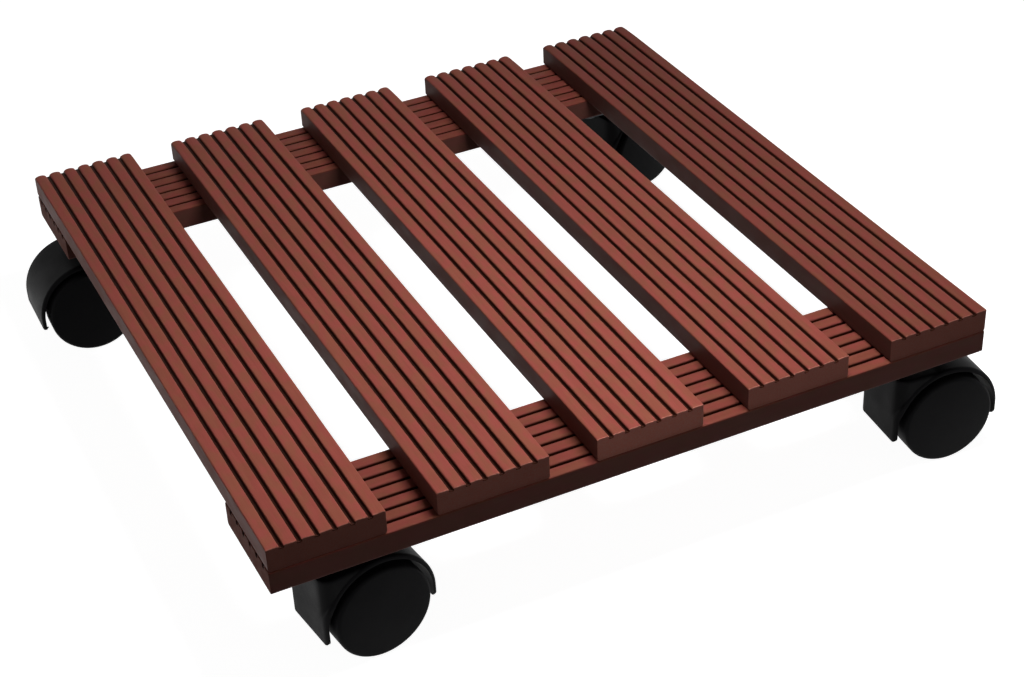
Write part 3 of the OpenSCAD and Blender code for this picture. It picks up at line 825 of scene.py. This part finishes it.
def swivel_boss(sizes, wheel_r, trail):
    """Points and faces of the collar round the kingpin, with a fillet at its foot."""
    top = hood_levels(sizes, wheel_r)[-1]
    turn = np.linspace(0, QUARTER, 7)
    fillet, edge = 0.9 * MM, 0.5 * MM
    root, seat = 1 * MM, 0.05 * MM  # how far the collar and its fillet go into the flat top
    foot, head = sizes.boss_foot_d / 2, sizes.boss_top_d / 2
    hollow = together(foot + fillet * (1 - np.sin(turn)) - fillet * 0.5,
                      top - seat + fillet * (1 - np.cos(turn)))
    crown = together(head - edge * (1 - np.cos(turn)),
                     top + sizes.boss_h - edge * (1 - np.sin(turn)))
    profile = np.concatenate([[[0, top - root], [foot, top - root]], hollow, crown,
                              [[0, top + sizes.boss_h]]])
    points, faces = turned(profile, 64)
    return points - [trail, 0, 0], faces


class STAND_OT_hoods(bpy.types.Operator):
    """Build the four moulded hoods with their webs and swivel bosses"""
    bl_idname = "plant_stand.hoods"
    bl_label = "Hoods"

    def execute(self, context):
        stand = context.scene.plant_stand
        material = moulded_plastic("hood_plastic", stand.finish.hood, stand.finish.scuff)
        for corner in CORNERS:
            heading, trail, axle = caster_place(corner)
            sizes = stand.caster
            wheel_r = axle.z
            parts = [outwards(hood_shell(sizes, wheel_r)), outwards(hood_web(sizes, wheel_r)),
                     outwards(swivel_boss(sizes, wheel_r, trail))]
            points, faces = joined(parts)
            points = turned_to(points, heading, axle)
            make_piece(f"moulded_hood_{corner}", (points, faces), material, f"swivel_{corner}",
                       [f"hood_{corner}"])
        return {"FINISHED"}


def wheel_profile(sizes, wheel_r):
    """Radius and height of a wheel's section from the foot of its blind bore to the disc's middle.

    Height runs along the axle from the inner face. The disc is a crowned arc, and tread and hub
    edges are quarter arcs.
    """
    turn = np.linspace(0, QUARTER, 7)
    bore = sizes.axle_d / 2 + 0.05 * MM  # with a running clearance
    bore_end, bore_wall = 8.35 * MM, np.linspace(8.3, 0.4, 7) * MM
    hub, rim = sizes.hub_d / 2, wheel_r - sizes.rim_t
    disc_in = sizes.wheel_w - sizes.disc_t
    small, fillet = 0.35 * MM, 0.8 * MM
    inner, outer = sizes.tread_inner_r, sizes.tread_outer_r
    disc_r = wheel_r - outer
    crown_r = (disc_r ** 2 + sizes.disc_crown ** 2) / (2 * sizes.disc_crown)
    crown = np.linspace(math.asin(disc_r / crown_r), 0, 14)[1:]
    sin, cos = np.sin(turn), np.cos(turn)
    return np.concatenate([
        together(np.array([0, bore]), bore_end),
        together(bore, bore_wall),
        together(bore + small * (1 - cos), small * (1 - sin)),
        together(hub - small * (1 - sin), small * (1 - cos)),
        together(hub + fillet * (1 - cos), disc_in - fillet * (1 - sin)),
        together(rim - fillet * (1 - sin), disc_in - fillet * (1 - cos)),
        together(rim + small * (1 - cos), small * (1 - sin)),
        together(wheel_r - inner * (1 - sin), inner * (1 - cos)),
        together(wheel_r - outer * (1 - cos), sizes.wheel_w - outer * (1 - sin)),
        together(crown_r * np.sin(crown),
                 sizes.wheel_w + sizes.disc_crown - crown_r * (1 - np.cos(crown)))])


def wheel_ribs(sizes, wheel_r):
    """Plates between hub and rim: slabs with a rounded free edge, turned round the axle."""
    root, sunk = 0.4 * MM, 0.1 * MM  # how far a rib goes into hub and rim, and into the disc
    start, stop = sizes.hub_d / 2 - root, wheel_r - sizes.rim_t + root
    turn = np.linspace(-QUARTER, QUARTER, 7)
    half = sizes.rib_t / 2
    lowest = sizes.tread_inner_r
    along = np.linspace(start, stop, 4)[:, None]
    aside = np.concatenate([[-half], half * np.sin(turn), [half]])
    middle = sizes.wheel_w - sizes.disc_t / 2
    height = np.concatenate([[middle], lowest + half * (1 - np.cos(turn)), [middle]])
    side = together(along, aside, height)
    top = side.copy()
    top[..., 2] = middle + sunk
    points, faces = outwards(slab(side, top))
    steps = np.arange(sizes.ribs) * 2 * math.pi / sizes.ribs
    return [(turned_to(points, step, (0, 0, 0)), faces) for step in steps]


class STAND_OT_wheels(bpy.types.Operator):
    """Build the eight wheels with their discs, treads, hubs and ribs"""
    bl_idname = "plant_stand.wheels"
    bl_label = "Wheels"

    segments = 160
    tread_band = 0.6 * MM

    def execute(self, context):
        stand = context.scene.plant_stand
        sizes = stand.caster
        material = tread_plastic("wheel_plastic", stand.finish.wheel, stand.finish.scuff)
        for corner in CORNERS:
            heading, _, axle = caster_place(corner)
            wheel_r = axle.z
            body = outwards(turned(wheel_profile(sizes, wheel_r), self.segments))
            points, faces = joined([body, *wheel_ribs(sizes, wheel_r)])
            radius = np.hypot(points[:, 0], points[:, 1])
            tread = np.clip((radius - wheel_r + self.tread_band) / self.tread_band, 0, 1)
            for side, sign in SIDES.items():
                upright = np.stack([points[:, 0], sign * points[:, 2], -sign * points[:, 1]], -1)
                upright = upright + [0, sign * (sizes.web_w / 2 + sizes.wheel_gap), 0]
                name = f"wheel_{corner}_{side}"
                make_piece(f"moulded_{name}", outwards((turned_to(upright, heading, axle), faces)),
                           material, name, [name], {"tread": tread})
        return {"FINISHED"}


def screw_head(sizes, rim_h, dome_h, cone_h):
    """Points and faces of a screw, its head's outer face towards -Z and its shank above z = 0.

    The head's face is a height over radius and angle: a dome of height h (1 - (r/R)^2), less the
    cross recess, whose depth falls off smoothly at the edges of its two bars.
    """
    head, shank = sizes.head_d / 2, sizes.shank_d / 2
    segments = 72
    recess_blur, edge = 0.09 * MM, 0.2 * MM
    shank_l, tip_l = 4 * MM, 5 * MM
    angle = np.arange(segments) * 2 * math.pi / segments
    radius = head * np.sqrt(np.linspace(0.0015, 0.985, 26))[:, None]
    x, y = radius * np.cos(angle), radius * np.sin(angle)

    def bar(along, aside):
        inside = np.minimum(sizes.recess_l / 2 - np.abs(along), sizes.recess_w / 2 - np.abs(aside))
        return 1 / (1 + np.exp(-inside / recess_blur))

    recess = np.maximum(bar(x, y), bar(y, x))
    face = -rim_h - dome_h * (1 - (radius / head) ** 2) + sizes.recess_d * recess
    turn = np.linspace(0, QUARTER, 4)
    rim = together(head - edge * (1 - np.sin(turn)), -rim_h + edge * (1 - np.cos(turn)))
    body = np.concatenate([rim, [[head, 0.0]], [[shank, cone_h]], [[shank, cone_h + shank_l]]])
    rings = np.concatenate([together(x, y, face), spun(body, segments)])
    return outwards(capped(rings, [0, 0, face[0].mean()], [0, 0, cone_h + tip_l]))


class STAND_OT_screws(bpy.types.Operator):
    """Build the countersunk screws of the slats and the pan-head screws of the top plates"""
    bl_idname = "plant_stand.screws"
    bl_label = "Screws"

    plate_t = 2 * MM

    def execute(self, context):
        stand = context.scene.plant_stand
        sizes = stand.screw
        material = plated_steel("screw_black", stand.finish.screw, 0.34, 900.0)
        random = np.random.default_rng(5)
        proud, sunk_dome, neck = 0.08 * MM, 0.15 * MM, 0.02 * MM
        sunk = screw_head(sizes, proud, sunk_dome, (sizes.head_d - sizes.shank_d) / 2)
        pan = screw_head(sizes, sizes.rim_h, sizes.dome_h, neck)
        for name in ("slat_screws_front", "slat_screws_back"):
            low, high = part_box(name)
            middle = (low.y + high.y) / 2
            places = [((a.x + b.x) / 2, middle + side * sizes.pitch / 2, low.z)
                      for a, b in map(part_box, SLATS) for side in (-1, 1)]
            self.group(name, sunk, places, random, material)
        plate_low = RAIL_LOW.z - self.plate_t
        for corner in CORNERS:
            low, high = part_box(f"top_plate_{corner}")
            xs = (low.x + sizes.hole_inset, high.x - sizes.hole_inset)
            ys = (low.y + sizes.hole_inset, high.y - sizes.hole_inset)
            places = [(x, y, plate_low) for x in xs for y in ys]
            self.group(f"plate_screws_{corner}", pan, places, random, material)
        return {"FINISHED"}

    def group(self, name, screw, places, random, material):
        """One piece of like screws, each turned at random."""
        points, faces = screw
        parts = [(turned_to(points, random.uniform(0, math.pi), place), faces) for place in places]
        make_piece(f"driven_{name}", joined(parts), material, "deck", [name])


class STAND_OT_metalwork(bpy.types.Operator):
    """Give the top plates, kingpins, grip rings and axles their metal finish"""
    bl_idname = "plant_stand.metalwork"
    bl_label = "Metalwork"

    def execute(self, context):
        finish = context.scene.plant_stand.finish
        # painted shade: near-black plates, as dark as the shade under the rails
        zinc = plated_steel("plate_zinc", finish.zinc, 0.26, 260.0)
        steel = plated_steel("pin_steel", finish.steel, 0.22, 700.0)
        for name, node in frame["nodes"].items():
            if name.startswith("top_plate_"):
                self.cover(node, zinc)
            elif name.startswith(("kingpin_", "grip_ring_", "axle_")):
                self.cover(node, steel)
        return {"FINISHED"}

    def cover(self, node, material):
        node.data.materials.clear()
        node.data.materials.append(material)


class STAND_OT_stage(bpy.types.Operator):
    """Set up the camera, the lamps, the white surroundings and the floor"""
    bl_idname = "plant_stand.stage"
    bl_label = "Stage"

    azimuth, elevation, roll = -24.639, 34.226, -2.778
    distance = 0.820263
    target = Vector((-0.011422, -0.054456, 0.057616))
    focal_px, image_w = 2045.996, 1024
    sensor_mm = 36.0
    lamps = (  # name in StageLight, place, what it aims at, width and height
        ("top", (0.06, -0.145, 0.45), (0.06, -0.145, 0), 0.2, 0.12),
        ("front", (0.8, -1.1, 0.30), (0, -0.1, 0.05), 0.6, 0.5),
        ("left", (-0.55, -0.20, 0.16), (-0.1, -0.05, 0.05), 0.25, 0.2),
        ("back", (0.1, 0.9, 0.85), (0, 0, 0.07), 0.8, 0.5))
    floor_half, floor_low = 4.0, 0.2 * MM

    def execute(self, context):
        light = context.scene.plant_stand.light
        self.camera(context)
        for name, place, aim, width, height in self.lamps:
            self.lamp(f"{name}_softbox", getattr(light, name), place, aim, width, height)
        self.surroundings(context, light)
        self.floor(context, light)
        context.scene.view_settings.view_transform = "Standard"
        return {"FINISHED"}

    def camera(self, context):
        """A camera at the photograph's azimuth, elevation, roll and distance from its target."""
        turn, rise, roll = (math.radians(v) for v in (self.azimuth, self.elevation, self.roll))
        back = Vector((math.sin(turn) * math.cos(rise), -math.cos(turn) * math.cos(rise),
                       math.sin(rise)))
        right = Vector((math.cos(turn), math.sin(turn), 0))
        up = right.cross(-back)
        across = math.cos(roll) * right + math.sin(roll) * up
        upright = math.cos(roll) * up - math.sin(roll) * right
        data = bpy.data.cameras.new("camera")
        data.sensor_width = self.sensor_mm
        data.lens = self.sensor_mm * self.focal_px / self.image_w
        camera = bpy.data.objects.new("camera", data)
        place = Matrix((across, upright, back)).transposed().to_4x4()
        place.translation = self.target + back * self.distance
        camera.matrix_world = place
        context.scene.collection.objects.link(camera)
        context.scene.camera = camera

    def lamp(self, name, power, place, aim, width, height):
        data = bpy.data.lights.new(name, "AREA")
        data.shape = "RECTANGLE"
        data.size, data.size_y = width, height
        data.energy = power
        lamp = bpy.data.objects.new(name, data)
        lamp.location = place
        lamp.rotation_euler = (Vector(aim) - Vector(place)).to_track_quat("-Z", "Y").to_euler()
        bpy.context.scene.collection.objects.link(lamp)

    def shown_rays(self, paint):
        """1 for rays that show the surroundings: from the camera, mirrored or passed through."""
        rays = [paint.node("ShaderNodeLightPath", {}, {}, name)
                for name in ("Is Camera Ray", "Is Glossy Ray", "Is Transmission Ray")]
        return paint.node("ShaderNodeMath", {"operation": "MINIMUM"},
                          {0: rays[0] + rays[1] + rays[2], 1: 1.0})

    def surroundings(self, context, light):
        """White to the eye, and a dim fill to matt surfaces."""
        world = bpy.data.worlds.new("surroundings")
        world.use_nodes = True
        paint = Paint(world.node_tree)
        strength = self.shown_rays(paint) * (1.0 - light.ambient) + light.ambient
        glow = paint.node("ShaderNodeBackground", {}, {"Color": (1, 1, 1, 1), "Strength": strength})
        paint.node("ShaderNodeOutputWorld", {}, {"Surface": glow})
        context.scene.world = world

    def floor(self, context, light):
        """A wide white floor that shows the stand's shadow faintly.

        Its glow falls a little short of white, and the lamps' light makes up the rest.
        """
        material, paint = new_paint("floor")
        seen = self.shown_rays(paint)
        matt = paint.node("ShaderNodeBsdfDiffuse", {}, {"Color": (*(light.floor_matt,) * 3, 1)})
        dim = paint.node("ShaderNodeBsdfDiffuse", {}, {"Color": (*(light.floor_bounce,) * 3, 1)})
        glow = paint.node(
            "ShaderNodeEmission", {}, {"Color": (1, 1, 1, 1), "Strength": light.floor_glow})
        shown = paint.node("ShaderNodeAddShader", {}, {0: glow, 1: matt})
        both = paint.node("ShaderNodeMixShader", {}, {0: seen, 1: dim, 2: shown})
        paint.node("ShaderNodeOutputMaterial", {}, {"Surface": both})
        half, low = self.floor_half, -self.floor_low
        mesh = bpy.data.meshes.new("floor")
        mesh.from_pydata([(-half, -half, low), (half, -half, low), (half, half, low),
                          (-half, half, low)], [], [[0, 1, 2, 3]])
        mesh.materials.append(material)
        floor = bpy.data.objects.new("floor", mesh)
        context.scene.collection.objects.link(floor)


OPERATORS = (STAND_OT_stage, STAND_OT_slats, STAND_OT_rails, STAND_OT_hoods, STAND_OT_wheels,
             STAND_OT_screws, STAND_OT_metalwork)


class STAND_PT_panel(bpy.types.Panel):
    """Lists the steps that build the stand"""
    bl_idname = "STAND_PT_panel"
    bl_label = "Plant Stand"
    bl_space_type = "VIEW_3D"
    bl_region_type = "UI"
    bl_category = "Plant Stand"

    def draw(self, context):
        for operator in OPERATORS:
            self.layout.operator(operator.bl_idname)


GROUPS = (BoardSizes, WoodColours, CasterSizes, CasterColours, ScrewSizes, StageLight, PlantStand)
CLASSES = (*GROUPS, *OPERATORS, STAND_PT_panel)


def register():
    for cls in CLASSES:
        bpy.utils.register_class(cls)
    bpy.types.Scene.plant_stand = bpy.props.PointerProperty(type=PlantStand)


def unregister():
    del bpy.types.Scene.plant_stand
    for cls in reversed(CLASSES):
        bpy.utils.unregister_class(cls)


def main():
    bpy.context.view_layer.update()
    register()
    for operator in OPERATORS:
        group, name = operator.bl_idname.split(".")
        getattr(getattr(bpy.ops, group), name)()


if __name__ == "__main__":
    main()
